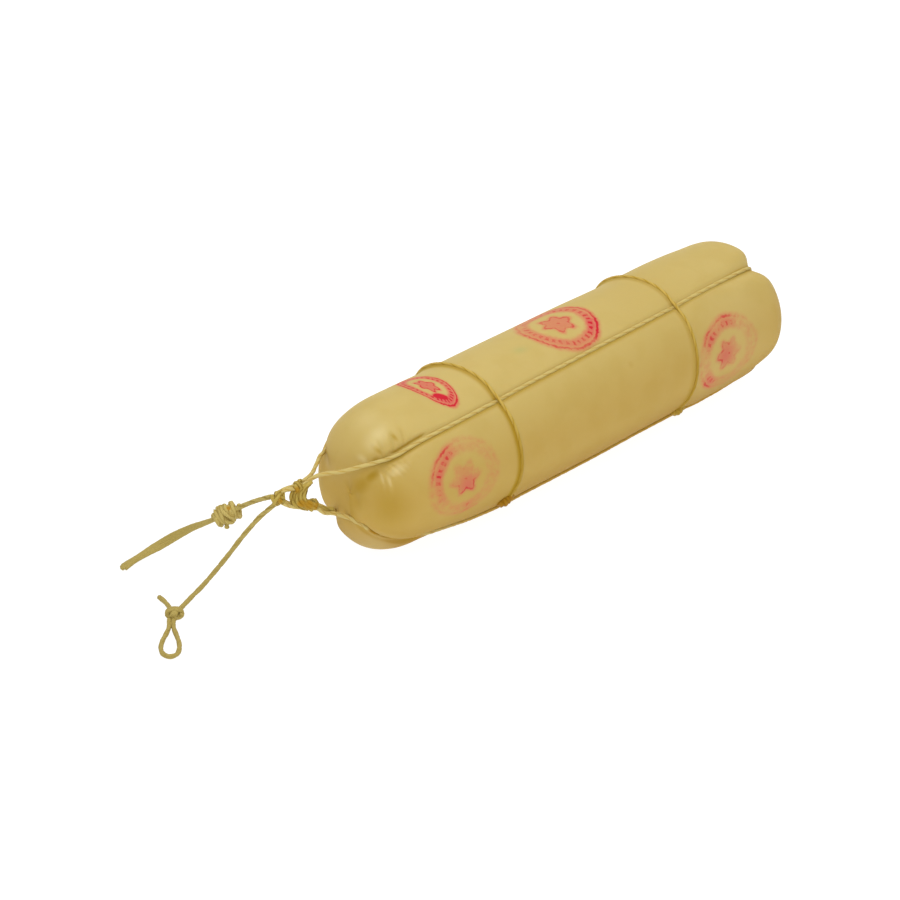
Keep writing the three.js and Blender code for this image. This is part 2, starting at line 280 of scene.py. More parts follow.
# The same twine dipped with the cheese: wax fills it, so it is smoother, glossier and nearly
# the colour of the casing
dippedTwine = {
    "crown": "#CDBA76",
    "shade": "#C2AB60",
    "gap": "#BA9440",
    # low is painted shade on the twine close to the floor
    "low": "#B88C1E",
    "lowFrom": (0.026, 0.014, 0, 0.85),
    "stains": [(-226, -20, -27, 7), (-216, -30, -33, 10), (-203, -38, -36, 12)],
    "roughness": 0.48,
    "level": 0.15,
    "sheen": 0.0,
    "bump": 0.04,
}

# Where it is buried in the wax, as the hoops are, it is amber all through
soakedTwine = {
    **dippedTwine,
    "crown": "#CDB05A",
    "shade": "#BF9F44",
    "gap": "#AA8414",
    # the lower part of each hoop is painted in amber shade
    "low": "#AA8828",
    "lowFrom": (0.1, 0.062, 0, 0.85),
    "bump": 0.03,
    "stains": [],
}
tiedTwine = {
    **soakedTwine,
    "crown": "#A87C0C",
    "shade": "#A07206",
    "gap": "#825902",
    "low": "#A07206",
}
stain = {"colour": "#AE8010", "core": 0.4, "most": 0.9}  # its core is a share of its radius
fibre = {"width": 0.25, "length": 9, "contrast": (0.3, 0.7)}  # millimetres; real ones are half as wide
twine = {
    "yarns": 2,
    "yarn": (1.5, 1.7),  # half sizes of a yarn towards the twine's axis and across
    "offset": 0.42,  # a yarn's middle from the axis
    "pitch": 24,  # one turn, where the twine is pulled tight
    "loosePitch": 28,
    "sides": 10,
    "step": 1.3,
    "wander": 0.5,  # how unevenly it is laid, in radians
    "swell": 0.06,  # how unevenly thick, as a share
    "tip": 0.6,  # how far its ends are rounded, in steps
    "gapFrom": (0.75, -0.6),  # cosines round a yarn from its crown, where the painted shade of the gap starts and is full
}
twineReach = twine["offset"] + twine["yarn"][0]


def makeTwineMaterial(name, look):
    material, add = startMaterial(name)
    # u runs along the yarn in metres, v once round it from the side away from the axis
    u, v, _ = add("SeparateXYZ", add("UVMap", (), uv_map="twine"))
    turn = add("Math", (v, 2 * math.pi), "MULTIPLY")[0]
    facing, aside = (add("Math", (turn,), wave)[0] for wave in ("COSINE", "SINE"))
    # noise on a cylinder of the yarn's own size, stretched along it, has no seam
    around = twine["yarn"][0] / fibre["width"]
    stretch = ((u, 1 / (fibre["length"] * metre)), (facing, around), (aside, around))
    place = add("CombineXYZ", [add("Math", pair, "MULTIPLY")[0] for pair in stretch])[0]
    fibres = add("TexNoise", {"Vector": place, "Scale": 1, "Detail": 2, "Roughness": 0.6})[0]
    place = add("TexCoord", ())["Object"]
    height = add("SeparateXYZ", (place,))[2]
    # the gap colour is painted shade on the inner side of each yarn, and the low colour painted shade lower
    # down
    coats = [(add("MapRange", (fibres, *fibre["contrast"]))[0], look["crown"]),
             (add("MapRange", (facing, *twine["gapFrom"]), **eased)[0], look["gap"]),
             (add("MapRange", (height, *look["lowFrom"]), **eased)[0], look["low"])]
    for *at, radius in look["stains"]:
        away = add("VectorMath", (place, tuple(toScene(at))), "DISTANCE")["Value"]
        reach = radius * metre
        spot = add("MapRange", (away, reach, stain["core"] * reach, 0, stain["most"]), **eased)[0]
        coats.append((spot, stain["colour"]))
    bump = add("Bump", {"Strength": 1, "Distance": look["bump"] * metre, "Height": fibres})[0]
    add("OutputMaterial", add("BsdfPrincipled", {
        "Base Color": layColours(add, look["shade"], coats), "Normal": bump,
        "Roughness": look["roughness"], "IOR": 1.5, "Specular IOR Level": look["level"],
        "Sheen Weight": look["sheen"], "Sheen Roughness": 0.5, "Sheen Tint": fromHex(look["crown"])}))
    return material


# twine

bareMaterial = makeTwineMaterial("laid twine", bareTwine)
knottedMaterial = makeTwineMaterial("knotted laid twine", knottedTwine)
gatheredMaterial = makeTwineMaterial("gathered laid twine", gatheredTwine)
dippedMaterial = makeTwineMaterial("laid twine dipped in wax", dippedTwine)
soakedMaterial = makeTwineMaterial("laid twine buried in wax", soakedTwine)
tiedMaterial = makeTwineMaterial("tied laid twine soaked in wax", tiedTwine)


def uneven(marks, seed, sizes=(31, 13.7, 6.1)):
    # a smooth wander between -1 and 1 along a length
    draw = np.random.default_rng(seed)
    return sum(np.sin(2 * math.pi * (marks / size + draw.random())) for size in sizes) / len(sizes)


def windYarns(path, seed, pitch=twine["pitch"], closed=False, size=1, yarns=twine["yarns"],
              offset=twine["offset"]):
    # yarns wound round the path; a single yarn lies on the path itself
    normals, sides = pathFrames(path, closed)
    marks = lengthsAlong(path)
    total = marks[-1] + (np.linalg.norm(path[0] - path[-1]) if closed else 0)
    turns = total / pitch
    wander = twine["wander"] * uneven(marks, seed)
    if closed:
        turns = round(turns)
        wander *= np.sin(math.pi * marks / total)
    swell = size * (1 + twine["swell"] * uneven(marks, seed + 1, (23, 9.1, 4.3)) * (not closed))
    swell = swell[:, None, None]
    deep, across = twine["yarn"]
    b = np.linspace(0, 2 * math.pi, twine["sides"] + 1)[None, :-1, None]
    around = np.linspace(0, 1, twine["sides"] + 1)
    if yarns == 1:  # no side of it lies against another
        offset, around = 0, 0.7 * np.abs(around - 0.5)
    rows = len(path) + closed
    u = np.r_[marks, total][:rows] * metre
    edges = ((u[:-1], around[:-1]), (u[:-1], around[1:]), (u[1:], around[1:]), (u[1:], around[:-1]))
    sideUvs = np.stack([np.stack(np.meshgrid(*edge, indexing="ij"), axis=-1) for edge in edges], axis=2)
    points, faces, uvs = [], [], []
    for k in range(yarns):
        a = (2 * math.pi * (turns * marks / total + k / yarns) + wander)[:, None]
        outward = (normals * np.cos(a) + sides * np.sin(a))[:, None]
        sideways = (sides * np.cos(a) - normals * np.sin(a))[:, None]
        ring = path[:, None] + swell * ((offset + deep * np.cos(b)) * outward + across * np.sin(b) * sideways)
        base = sum(len(p) for p in points)
        points.append(ring.reshape(-1, 3))
        places = base + np.arange(rows * twine["sides"]).reshape(rows, -1) % len(points[-1])
        pairs = np.stack([places, np.roll(places, -1, axis=1)], axis=-1)
        faces += np.concatenate([pairs[:-1], pairs[1:, :, ::-1]], axis=-1).reshape(-1, 4).tolist()
        uvs.append(sideUvs.reshape(-1, 2))
        for end, inner, way in () if closed else ((0, 1, -1), (-1, -2, 1)):  # rounded ends
            top = sum(len(p) for p in points)
            points.append(ring[end].mean(axis=0)[None] + (path[end] - path[inner]) * twine["tip"])
            faces += [(*pair, top) for pair in pairs[end, :, ::way].tolist()]
            uvs.append(np.repeat([(u[end], turn) for turn in around[:-1]], 3, axis=0))
    return np.vstack(points), faces, np.vstack(uvs)


def run(route, seed, closed=False, **looks):
    # what windYarns takes, for twine through the points of a route
    return {"path": evenPath(route, twine["step"], closed), "seed": seed, "closed": closed, **looks}


def addTwine(name, runs, material=bareMaterial):
    # a piece of several runs of twine
    points, faces, uvs = [], [], []
    for each in runs:
        base = sum(len(p) for p in points)
        morePoints, moreFaces, moreUvs = windYarns(**each)
        points.append(morePoints)
        faces += [tuple(base + i for i in face) for face in moreFaces]
        uvs.append(moreUvs)
    piece = addMesh(name, toScene(np.vstack(points)), faces, material, np.vstack(uvs))
    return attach(piece, "root")


def aimed(points, at, toward):
    # points of a knot's own frame, with its X axis turned to a direction, put in place
    turn = Vector(toward).to_track_quat("X", "Z").to_matrix()
    return np.asarray(points, float) @ np.array(turn).T + np.asarray(at, float)


def coil(turns, radius, pitch, flat=1, start=0, taper=0.0):
    # a winding round the X axis; taper draws its two ends in to the axis
    t = np.linspace(0, 1, max(12, round(turns * 16)))
    angle = 2 * math.pi * (turns * t + start)
    ends = 1 - taper * (1 - smoothStep(0, 0.16, t) * smoothStep(0, 0.16, 1 - t))
    return np.column_stack([(t - 0.5) * turns * pitch, radius * ends * np.cos(angle),
                            radius * flat * ends * np.sin(angle)])


# the two loose tails

plainTail = {
    "route": [(-291.5, 17.5, 18), (-292.2, 19.8, 17.3), (-293.6, 28.3, 13), (-294.9, 38, 7.4),
              (-296.1, 46.8, 1.6), (-297, 52.1, -2.3)],
    "knot": (-299.6, 62.2, -9.6),
    "knotAxis": (0.74, -0.57, 0.34),
    "frayed": [(-300, 70.2, -15.8), (-300.7, 77, -20), (-301.7, 89.5, -28), (-303.5, 99.4, -34.2),
               (-306.8, 107.3, -40), (-311.2, 114, -45.3), (-317, 119.2, -49.7), (-325, 122.4, -52.8),
               (-334.7, 123.4, -54.6), (-344.5, 122.9, -55.2), (-357, 120.8, -55.4)],
    "wraps": [  # coils round a core: turns, radius, pitch, start, how their axis leans
        (4.2, 6.3, 5.2, 0, (0, 0, 0)),
        (1.5, 7, 5.5, 0.3, (-0.3, 0.2, 0.5)),
    ],
    "core": [(-8, 0.5, 0), (0, -0.5, 0), (8, 0.5, 0)],  # along the knot's axis
    "coreSize": 3.8,
    "knotStub": [(-0.5, 0, -3), (-2.5, -2, -7), (-3.7, -3.3, -9.8)],  # from the knot's middle
    "strands": 8,  # what the frayed end falls apart into, side by side
    "strandSize": 0.85,
    "strandPitch": 600,  # they are hardly twisted
    # half the width they take, along the frayed end
    "spread": [(0, 0.3), (0.17, 0.5), (0.4, 1.5), (0.65, 2.7), (0.85, 1.6), (1, 2.4)],
    "faces": ((-0.67, -0.59, 0.45), (-0.2, -0.3, 0.95)),  # the flat side, at the start and the end
    "turning": (0.4, 0.9),  # shares of its length between which it turns
}

loopTail = {
    "route": [(-290.5, 15.5, 15), (-291.8, 16.3, 12.8), (-294.6, 21.2, 7), (-298.4, 26.6, 0.5),
              (-303.7, 31.8, -8), (-309.9, 36.4, -17), (-317.4, 40, -26.5), (-325.3, 43, -35),
              (-333, 46, -43), (-341.6, 48, -49.7), (-350.9, 48.6, -54), (-359, 47.4, -56.1),
              (-370.6, 43.4, -56.4)],
    "knot": (-376, 40.7, -54.5),
    "loopAxis": (-0.674, -0.738, 0),  # where the hanging loop points
    "wrapAxis": (-0.66, -0.72, 0.2),
    "wrap": (1.9, 5.6, 3, 0.5),  # turns, radius, pitch and how flat it is pulled
    "core": [(-4, 0.5, 0), (0, 0, 0.4), (5, -1, -0.8)],
    "coreSize": 1.8,
    "loop": [(-1, -2.9), (5.9, -4.1), (12, -3.9), (18, -4.5), (26.5, -6.6), (36.3, -9.2), (46, -10.1),
             (54, -8.1), (57.6, -3.5), (55.2, 1.2), (47.4, 3.3), (37.6, 3), (27.5, 1.2), (18, -0.6),
             (12, -1.1), (5.9, -0.9), (-1, -0.9)],
    "stub": [(-374.6, 42.5, -55.6), (-373.2, 46.6, -56.6), (-369.6, 54.4, -56.6), (-367, 61.4, -56.6),
             (-365.2, 69.6, -56.6)],
}


def strandPaths(path):
    # paths side by side along a path, in a flat ribbon
    tail = plainTail
    marks = np.linspace(0, pathLength(path), len(path))
    share = marks / marks[-1]
    spread = along(tail["spread"], share)
    first, last = np.array(tail["faces"])
    facing = first + (last - first) * smoothStep(*tail["turning"], share)[:, None]
    across = np.cross(np.gradient(path, axis=0), facing)
    across /= np.linalg.norm(across, axis=1)[:, None]
    for k in range(tail["strands"]):
        place = 2 * k / (tail["strands"] - 1) - 1
        side = spread * (place + 0.1 * uneven(marks, 40 + k, (71, 43)))
        lift = (0.5 * (1 - place ** 2) + 0.15 * uneven(marks, 80 + k, (53, 29))) * share
        end = len(path) - round(1.5 * place ** 2) - k % 2  # a rounded end
        yield (path + across * side[:, None] + facing * lift[:, None])[:end]


def makePlainTail():
    tail = plainTail
    path = evenPath([*tail["route"], tail["knot"], *tail["frayed"]], twine["step"])
    middle = int(np.argmin(np.linalg.norm(path - tail["knot"], axis=1)))
    runs = [{"path": path[:middle + 1], "seed": 3, "pitch": twine["loosePitch"]}]
    runs += [{"path": strand, "seed": 50 + k, "size": tail["strandSize"], "yarns": 1,
              "pitch": tail["strandPitch"]}
             for k, strand in enumerate(strandPaths(path[middle - 3:]))]
    piece = addTwine("plain_tail", runs)
    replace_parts(piece, "tail_plain", "tail_frayed")
    runs = [run(aimed(tail["core"], tail["knot"], tail["knotAxis"]), 5, size=tail["coreSize"])]
    for turns, radius, pitch, begin, lean in tail["wraps"]:
        wraps = coil(turns, radius, pitch, start=begin, taper=0.7)
        runs.append(run(aimed(wraps, tail["knot"], np.add(tail["knotAxis"], lean)), 60 + len(runs)))
    runs.append(run(np.array(tail["knotStub"]) + tail["knot"], 64))
    knot = addTwine("stopper", runs, knottedMaterial)
    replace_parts(knot, "stopper_knot")
    toScene(tail["route"][0])
    round(pathLength(path) * metre, 4)
    toScene(path)


def makeLoopTail():
    tail = loopTail
    path = evenPath(tail["route"], twine["step"])
    piece = addTwine("loop_tail", [{"path": path, "seed": 7, "pitch": twine["loosePitch"]}])
    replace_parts(piece, "tail_loop")
    lie = floorGap + twineReach - axisHeight - tail["knot"][2]
    loop = aimed([(x, y, lie) for x, y in tail["loop"]], tail["knot"], tail["loopAxis"])
    wrap = aimed(coil(*tail["wrap"], start=0.1), tail["knot"], tail["wrapAxis"])
    core = aimed(tail["core"], tail["knot"], tail["loopAxis"])
    for name, node, seed, routes, material in (
            ("eye", "hanging_loop", 8, [loop], bareMaterial),
            ("eye_knot", "loop_knot", 9, [wrap, core], knottedMaterial),
            ("eye_stub", "loop_stub", 10, [tail["stub"]], bareMaterial)):
        runs = [run(route, seed, size=size, pitch=twine["loosePitch"])
                for route, size in zip(routes, (1, tail["coreSize"]))]
        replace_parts(addTwine(name, runs, material), node)
    toScene(tail["route"][0])
    round(pathLength(path) * metre, 4)
    toScene(path)


makePlainTail()
makeLoopTail()
print("tails laid")


# the cheese

body = {
    "nearPole": -233,  # the tied end
    "farPole": 237.2,  # the crossed end
    "nearCap": (60, 2.65),  # length and power of the superellipse that rounds it off
    "farCap": (33, 2.58),
    "radius": [(-200, 58.6), (-166, 59.6), (-106, 60.9), (0, 61.4), (106, 60.6), (200, 60)],
    "nearRise": [(-233, 2.6), (-190, 2.8), (-150, 1.8), (-100, 0.3), (-60, 0)],
    "nearLean": 6.3,  # its underside reaches further out than its top
    "farLean": {"front": 5, "top": -2, "length": 75},
    "swells": [  # how far it stands out of round: mean angle, half width, and (x, height) pairs
        (165, 50, [(-233, 1), (-222, 2.4), (-208, 0.2), (-190, -2.8), (-172, -2.2), (-140, 0)]),
        (-37, 45, [(-230, -1), (-222, -1.6), (-200, -0.7), (-120, -0.8), (-95, 0), (20, -0.5), (90, -0.4),
                   (120, 0.3), (150, 0.6), (175, 0.1), (195, -0.9), (210, -1.4), (222, 0), (230, 0.8)]),
        (90, 60, [(-150, 0), (-115, 0.4), (-80, 0), (0, 0.3), (60, 0)]),
        (150, 35, [(70, 0), (110, 0), (135, 1), (190, 0.8), (205, 0), (225, -1.8)]),
        (143, 21, [(-200, 0), (-180, -1.2), (-150, -1.6), (-106, -1.6), (-75, -2), (45, -2), (80, -1.6),
                   (106, -1.2), (125, 0)]),
    ],
    "lumps": 0.3,  # height of the slow unevenness all over
    "rows": 360,
    "columns": 60,  # from each string to the next
    "crowdColumns": 0.105,  # towards the strings
    "crowdHoops": (1.5, 12),  # rows, by how much and how far from a hoop
    "crowdNear": [(50, 1), (120, 0)],  # and by how much along the outline from each end
    "crowdFar": [(-110, 0), (-40, 1.2)],
    "hoopFade": 40,  # how far from a hoop the rows still lean with it
}
strings = {  # angles along x
    "frontTop": [(-226, 38.9), (-212, 41.8), (-184, 42), (-150, 41.2), (-106, 39.5), (-60, 38.3),
                 (-24, 37.8), (24, 36.9), (72, 36.2), (120, 35.1), (150, 34.2), (200, 33.1), (239, 32.5)],
    "frontLow": [(-231.4, 168), (-230.3, 155.5), (-228.5, 150.5), (-225.2, 146), (-222.5, 142.8),
                 (-218.1, 139.5), (-208.8, 136), (-198.4, 133.5), (-190, 132.8), (-182.6, 132.8),
                 (-173, 134), (-162.6, 135.5), (-151, 136.5), (-106, 137), (0, 137), (80, 137),
                 (106, 138), (180, 136), (216, 129), (239, 132)],
    "backLow": [(-226, 220), (-106, 218), (106, 216), (239, 214)],
    "backTop": [(-226, 286), (-214, 289), (-198, 297), (-150, 301), (-106, 304), (106, 304),
                (195, 310), (239, 313)],
}
loops = {"string_loop_a": ("frontTop", "backLow"), "string_loop_b": ("frontLow", "backTop")}
press = {
    "stringDepth": [(-233, 2), (-230, 3), (-224, 4), (-208, 3.7), (-190, 2), (-150, 1.3), (-106, 1.1),
                    (150, 1.1), (195, 3), (215, 6.5), (228, 10.5), (239, 10.5)],
    "stringWidth": [(-233, 11), (-228, 9), (-215, 6), (-200, 4.4), (-160, 3.2), (-106, 2.7), (106, 2.7),
                    (150, 3.6), (215, 9), (239, 12)],
    "blunt": 14,  # radius within which the grooves merge at the tied end
    "hoopDepth": -0.8,  # wax heaps up beside a hoop
    "hoopWidth": 3,
    "pullWidth": 14,  # degrees over which a hoop is pulled aside
    "buried": (2.6, 148, 17),  # a hoop goes under the wax beyond its hitch: depth, angle, reach
    "proud": (1.3, -38, 24),  # and stands highest on the back of the top
    "sunkWidening": 0.6,
    "folds": {  # narrow folds beside a string: its sideways place, depth, width, and where along the
        # outline it starts, is whole, fades and ends
        "frontTop": (-3.5, 1.8, 1.3, (47, 55, 80, 90)),
        "frontLow": (-2.8, 2.6, 1.5, (22, 30, 48, 58)),
    },
    "dent": (2.2, 10),  # where a hoop crosses a string, the two press in together: depth, width
    "undented": (138, 25),  # but not at the lower front string, where the hoop is tied
}
pleats = {  # fine pleats fanning out from the upper front string at the tied end
    "slant": 0.48,
    "sides": [  # +1 below the string and -1 above it, height, where they fade in and out away from
        # the string and along x, and waves of a length, strength and start
        (1, 0.33, (3, 6, 12, 19), (-230, -226, -216, -206), ((4.6, 1, 0), (7.9, 0.5, 1))),
        (-1, 0.6, (3, 6, 14, 21), (-225, -220, -204, -196), ((9.5, 1, 2), (5.3, 0.4, 0))),
    ],
}
hoops = {
    # its middle, how it leans, the angle where it is tied to a string, and how far it is pulled there
    "hoop_near": {"x": -106, "leanY": -0.019, "leanZ": -0.012, "tied": 121, "pull": 4.5,
                  "hitch": (-111.8, 124, 1.2), "wax": 0.9},  # x, angle and size; how strong the painted shade beside it is
    "hoop_far": {"x": 106, "leanY": -0.019, "leanZ": 0.052, "tied": 127, "pull": 2.5,
                 "hitch": (102.5, 130.5, 1.05), "wax": 0.6},
}
stringLie = {  # a pressed-in string's axis above the bottom of its groove
    "frontTop": [(-215, 1.3), (-204, 0.5), (-190, 0.4), (-150, 0), (150, 0), (205, 0.5), (225, -0.6)],
    "frontLow": [(-231.5, 0.2), (-230.3, -1.1), (-228, -1.5), (-222, -1.9), (-212, -1.9),
                 (-206, -1.2), (-196, -0.2), (-182, 1.1), (-150, 1.3), (80, 1.5), (106, 1.3), (125, 0.2)],
    "backLow": [(-150, 0), (150, 0), (205, 0.5)],
    "backTop": [(-150, 0), (150, 0), (205, 0.5)],
}
hoopLie = 0.1


def makeOutline():
    # lengths along the outline from the near pole, with x, radius and outward normal at each
    turn = np.linspace(0, math.pi / 2, 300)
    caps = []
    for pole, (length, power), inward in ((body["nearPole"], body["nearCap"], 1),
                                          (body["farPole"], body["farCap"], -1)):
        x = pole + inward * length * (1 - np.abs(np.cos(turn)) ** (2 / power))
        caps.append(np.column_stack([x, along(body["radius"], x) * np.sin(turn) ** (2 / power)]))
    x = np.linspace(caps[0][-1, 0], caps[1][-1, 0], 500)[1:-1]
    whole = np.vstack([caps[0], np.column_stack([x, along(body["radius"], x)]), caps[1][::-1]])
    lengths = lengthsAlong(whole)
    marks = np.linspace(0, lengths[-1], 1200)
    x, r = (np.interp(marks, lengths, whole[:, k]) for k in (0, 1))
    slopeX, slopeR = np.gradient(x), np.gradient(r)
    size = np.hypot(slopeX, slopeR)
    normalX, normalR = -slopeR / size, slopeX / size
    normalX[[0, -1]], normalR[[0, -1]] = (-1, 1), 0
    return marks, x, r, normalX, normalR


outline = makeOutline()
outlineLength = outline[0][-1]


def stationAt(length):
    return [np.interp(length, outline[0], values) for values in outline[1:]]


def lengthAt(x):
    return np.interp(x, outline[1], outline[0])


def besideString(x, r, angle, name, hidden=99):
    # how far round from a string, below 0 on the side of the smaller angles, or hidden behind the axis
    turn = np.radians(angle - along(strings[name], x))
    return np.where(np.cos(turn) > 0, r * np.sin(turn), hidden)


def nearestString(x, r, angle, names):
    return np.minimum.reduce([np.abs(besideString(x, r, angle, name, r)) for name in names])


def hoopShift(hoop, r, angle):
    # how far along a hoop is from its own x
    a = np.radians(angle)
    lean = r * (hoop["leanZ"] * np.cos(a) - hoop["leanY"] * np.sin(a))
    return lean - hoop["pull"] * bell(angle - hoop["tied"], press["pullWidth"])


def besideHoop(hoop, x, r, angle):
    return x - hoop["x"] - hoopShift(hoop, r, angle)


def hoopSink(r, angle):
    # how much deeper a hoop's groove is, so that the hoop doesn't touch the surface below
    down = -np.cos(np.radians(angle))
    lowest = axisHeight - floorGap - twineReach
    free = r - press["hoopDepth"] + hoopLie
    return np.where(down > 0, np.maximum(0, free - lowest / np.maximum(down, 0.01)), 0)


def foldPress(x, r, angle):
    pressed = 0 * angle
    for name, (place, depth, width, ends) in press["folds"].items():
        aside = besideString(x, r, angle, name) - place
        pressed = pressed + depth * window(lengthAt(x), *ends) * bell(aside, width)
    return pressed


def dentPress(x, r, angle):
    depth, width = press["dent"]
    away = nearestString(x, r, angle, strings) + 99 * bell(angle - press["undented"][0], press["undented"][1])
    return sum(depth * bell(away, width) * bell(besideHoop(hoop, x, r, angle), width)
               for hoop in hoops.values())


def stringPress(x, r, angle):
    depth, width = along(press["stringDepth"], x), along(press["stringWidth"], x)
    merged = np.where(x < 0, smoothStep(0, press["blunt"], r), 1)
    pressed = sum((depth * bell(nearestString(x, r, angle, names) * merged, width)) ** 4
                  for names in loops.values()) ** 0.25
    return pressed + foldPress(x, r, angle) + dentPress(x, r, angle)


def hoopPress(x, r, angle):
    sink = hoopSink(r, angle)
    width = press["hoopWidth"] + press["sunkWidening"] * sink
    depth, middle, reach = press["buried"]
    heap = press["hoopDepth"] * (1 - bell(angle - middle, reach))
    height, middle, reach = press["proud"]
    heap = heap - height * bell(turnFrom(middle, angle), reach)
    return sum((heap + sink) * bell(besideHoop(hoop, x, r, angle), width) for hoop in hoops.values())


def standOut(x, angle):
    # the body's own departures from round
    off = body["lumps"] * (np.sin(x / 17 + 2 * np.sin(np.radians(angle))) * np.cos(np.radians(2 * angle))
                           + np.sin(x / 29 + 1) * np.cos(np.radians(3 * angle + 40)))
    for middle, width, heights in body["swells"]:
        off = off + along(heights, x) * bell(turnFrom(middle, angle), width)
    return off


def pleatHeight(x, r, angle):
    aside = besideString(x, r, angle, "frontTop")
    phase = 2 * math.pi * (lengthAt(x) - pleats["slant"] * np.abs(aside))
    total = 0 * angle
    for side, height, across, ends, waves in pleats["sides"]:
        wave = sum(strength * np.sin(phase / length + start) for length, strength, start in waves)
        total = total + height * window(side * aside, *across) * window(x, *ends) * wave
    return total


def placeOff(station, angle, off):
    # the points that stand off the unpressed body by this much
    x, r, normalX, normalR = station
    a = np.radians(angle)
    reach = r + off * normalR
    share = reach / along(body["radius"], x)
    near = np.clip((body["nearPole"] + body["nearCap"][0] - x) / body["nearCap"][0], 0, 1)
    lean = body["farLean"]
    far = np.clip((x - body["farPole"] + lean["length"]) / lean["length"], 0, 1)
    placeX = x + off * normalX + body["nearLean"] * np.cos(a) * share * near
    placeX = placeX + (lean["front"] * np.sin(a) + lean["top"] * np.cos(a)) * share * far ** 2
    rise = along(body["nearRise"], x)
    return np.stack([placeX, -reach * np.sin(a), reach * np.cos(a) + rise], axis=-1)


# Soft cheese in a waxed casing, faintly see-through, with a soft sheen: pale on top, painted darker
# and more amber lower down and in every groove and fold as painted shade, with painted highlights on bulges
waxedCasing = {
    # the colour of the painted highlights on the bulges and pleat crests
    "paintedHighlightColour": "#E6D6A0",
    "pale": "#C5AD67",
    "honey": "#C0A052",
    "amber": "#A47E30",
    # faint patches all over, which are its own, and painted shade beside strings and hoops and in folds
    "patchesAndPaintedShade": "#A68206",
    "green": "#A9A764",
    "honeyFrom": (0.115, 0.06),  # heights in metres that a colour starts and is full at: painted shade, darker lower down
    "amberFrom": (0.05, 0.012),
    "roughness": 0.55,
    "polish": -0.24,  # change of roughness where it is shinier
    "ior": 1.45,
    "level": 0.16,
    "depth": 4,  # millimetres that light goes into it
    "mottle": 22,  # size of the faint patches, in millimetres
    "mottled": (0.35, 0.7, 0, 0.11),  # noise they start and are full at, and how amber they are there
    "grain": 3.5,
    "bump": 0.05,
    # length along the outline from the tied pole, angle, half length, half width, how amber (painted shade in
    # the hollows of the tied end, and a few amber spots of its own), below zero how pale (a painted
    # highlight), and how green
    "blots": [
        (375, 0, 60, 60, 0.13, 0), (303.9, 60, 2.2, 1.2, 0.5, 0), (220.5, 10, 7, 4, 0, 0.5),
        (44.5, 298, 4, 3, 0.9, 0), (37, 297, 7, 4.5, 0.6, 0), (38, 92, 17, 21, 0.55, 0),
        (14, 47, 15, 8, 0.65, 0), (10, 105, 9, 11, 0.4, 0), (28, 45, 10, 4.5, 0.8, 0),
        (38, 32, 4, 3, 0.7, 0), (45, 25, 1.8, 5, 0.9, 0), (61, 28, 1.6, 4, 0.7, 0),
        (54, 15, 8, 7, -0.5, 0), (45, 16, 5, 6, -0.3, 0), (32, 17, 2.5, 5, -0.35, 0),
        (49, 54, 7, 4, -0.4, 0), (36, 55, 1.6, 6, -0.35, 0), (41, 62, 1.8, 6, -0.3, 0),
        (60, -2, 10, 13, -0.2, 0), (48, 160, 20, 24, -0.3, 0), (430, 85, 45, 50, -0.14, 0),
        (395, 100, 16, 26, -0.16, 0),
    ],
}
paintedShadeAndShine = {  # how much painted shade lies in folds and pleats and beside strings and hoops, and how shiny it is
    "folds": [(0.3, 0), (2.2, 0.9)],  # (depth, amount of painted shade) pairs
    "pleats": [(-0.1, 0), (0.6, 0.2)],
    "beside": {  # how far along x the painted shade beside a string reaches at the tied end, and how strong it is above it
        "frontLow": ([(-232, 0), (-229, 1)], [(-200, 1), (-150, 0.25)]),
        "other": ([(-227, 0), (-220, 1)], [(150, 0.1), (205, 0.6)]),
    },
    "aboveString": (-1.9, 1.5),  # how far from the string, and half width
    "belowString": (2.4, 2, 0.65),
    "valley": ([(-224, 0.4), (-208, 0)], 7),  # soft, and runs in to the tied end's middle
    "valleyEdge": [(-1, 1), (2, 0)],  # the lower front string has it above only
    "hoop": (-2.1, 2.5),
    "hoopTop": [(20, 0.85), (70, 1)],  # less over the top, by the angle
    "front": ([(-226, 0.25), (-206, 0)], 92, 28),  # painted shade on the front of the tied end: along x, and round a middle angle
    "shiny": ([(-214, 1), (-180, 0)], 35, [(50, 1), (100, 0)]),  # the same, for how shiny it is
    "rubbed": [(80, 0), (125, 0.8)],  # and how dull underneath, by the angle
}

# Food dye from a rubber stamp: crimson where it lies thick, rosy where it has run into the wax,
# and patchy where the curved skin didn't meet the stamp
stampInk = {
    "thick": "#C6162A",
    "run": "#CE6454",
    "line": 0.03,  # half thickness of a line, as a share of the stamp's radius like those below
    "bars": 30,
    "band": (0.82, 0.075),  # middle and half width of the ring of bars
    "petals": (0.34, 0.07, 6),  # mean radius of the rosette, how far its petals reach, how many
    "smears": ((2.2, 0.12), (11, 0.08)),  # scale and size of the uneven edges
    "patches": {"Scale": 6, "Detail": 4, "Roughness": 0.7},
    "edge": (1.15, 1.35),  # where the dye has faded out
    "stamps": [  # half sizes along and round, how strong it is, where that changes and where the
        # dye has pooled, each as (x, angle, reach, amount)
        {"x": -145, "angle": 0.5, "size": (13.7, 30), "ink": 0.85,
         "changes": [(-147, 24, 9, 0.3)],
         "pools": [(-150.5, 14.5, 3, 1), (-148.2, 17, 3.2, 1), (-146, 20, 2.8, 1)]},
        {"x": 2.5, "angle": 2, "size": (32.5, 33), "ink": 0.7,
         "changes": [(26, 21, 11, 0.45), (-18, -20, 20, -0.15)], "pools": [(29, 15, 2.6, 0.7)]},
        {"x": 148, "angle": 89.5, "size": (34.5, 31.3), "ink": 0.32,
         "changes": [(150, 62, 12, 0.45), (127, 71, 9, 0.5), (144, 90, 11, 0.55), (126, 109, 10, 0.5)],
         "pools": []},
        {"x": -165.5, "angle": 82.5, "size": (34, 30.5), "ink": 0.3,
         "changes": [(-180, 60, 11, 0.5), (-191, 73, 8, 0.5), (-187, 88, 8, 0.35), (-164, 89, 11, 0.55),
                     (-162, 110, 10, 0.2)],
         "pools": []},
    ],
}


